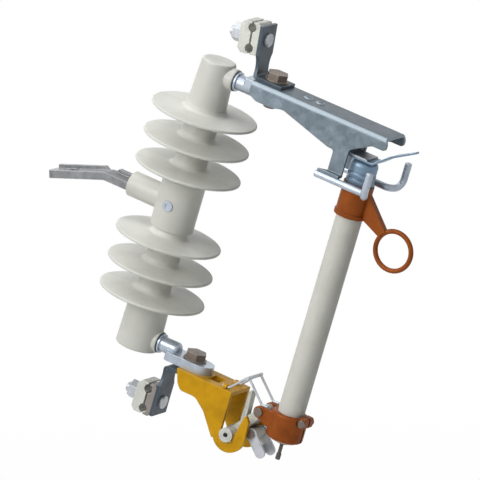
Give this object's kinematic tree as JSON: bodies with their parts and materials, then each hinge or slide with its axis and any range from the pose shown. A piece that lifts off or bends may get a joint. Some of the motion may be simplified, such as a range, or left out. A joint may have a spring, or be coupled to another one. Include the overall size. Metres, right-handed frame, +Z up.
{
  "type": "fuse cutout",
  "caption": "Polymer fuse cutout: a leaning shedded insulator on a mounting strap, with a drop-out fuse tube between a top contact channel and a lower hinge.",
  "frame": {"origin": "centre of the mounting hole, on the underside of the strap's level tongue", "axes": "+X level, towards the fuse tube; +Z up, along the mounting hole; y = 0 is the middle plane"},
  "size_m": [0.4149, 0.109, 0.4428],
  "materials": {
    "polymer": "moulded grey polymer",
    "strap_steel": "dull galvanised steel",
    "channel_steel": "galvanised sheet steel",
    "tinned_forging": "tinned forging",
    "bolt_steel": "weathered steel bolt",
    "plated_copper": "silver-plated copper",
    "spring_steel": "stainless spring steel",
    "terminal_steel": "dark tinned strap",
    "clamp_alloy": "cast, matt",
    "hinge_brass": "yellow cast brass",
    "cast_bronze": "brown cast bronze",
    "tube_resin": "painted glass-fibre tube",
    "link_copper": "tinned copper and sheath"
  },
  "bodies": {
    "frame": {"polymer_housing": "polymer", "collar_pin": "bolt_steel", "mounting_strap": "strap_steel", "upper_stud": "tinned_forging", "lower_stud": "tinned_forging", "top_channel": "channel_steel", "channel_bolt": "bolt_steel", "left_hook": "tinned_forging", "right_hook": "tinned_forging", "upper_contact": "plated_copper", "contact_spring": "spring_steel", "contact_rivets": "plated_copper", "upper_terminal_strap": "terminal_steel", "upper_clamp_body": "clamp_alloy", "upper_clamp_keeper": "clamp_alloy", "upper_clamp_bolt": "spring_steel", "hinge_bracket": "hinge_brass", "hinge_bolt": "bolt_steel", "hinge_spring": "spring_steel", "lower_terminal_strap": "terminal_steel", "lower_clamp_body": "clamp_alloy", "lower_clamp_keeper": "clamp_alloy", "lower_clamp_bolt": "spring_steel"},
    "fuse_holder": {"fuse_tube": "tube_resin", "upper_ferrule": "cast_bronze", "top_cap": "plated_copper", "lower_casting": "cast_bronze", "casting_bolt": "bolt_steel", "toggle_pin": "bolt_steel", "trunnion_link": "clamp_alloy", "fuse_link": "link_copper", "ejector_pin": "bolt_steel"},
    "ejector": {"link_ejector": "spring_steel"}
  },
  "joints": [
    {"name": "holder_swing", "type": "hinge", "parent": "frame", "child": "fuse_holder", "pos_m": [0.17502, 0, -0.25089], "axis": [0, 1, 0], "range_deg": [0, 150]},
    {"name": "ejector_flip", "type": "hinge", "parent": "fuse_holder", "child": "ejector", "pos_m": [0.19843, 0, -0.2509], "axis": [0, 1, 0], "range_deg": [0, 45]}
  ]
}
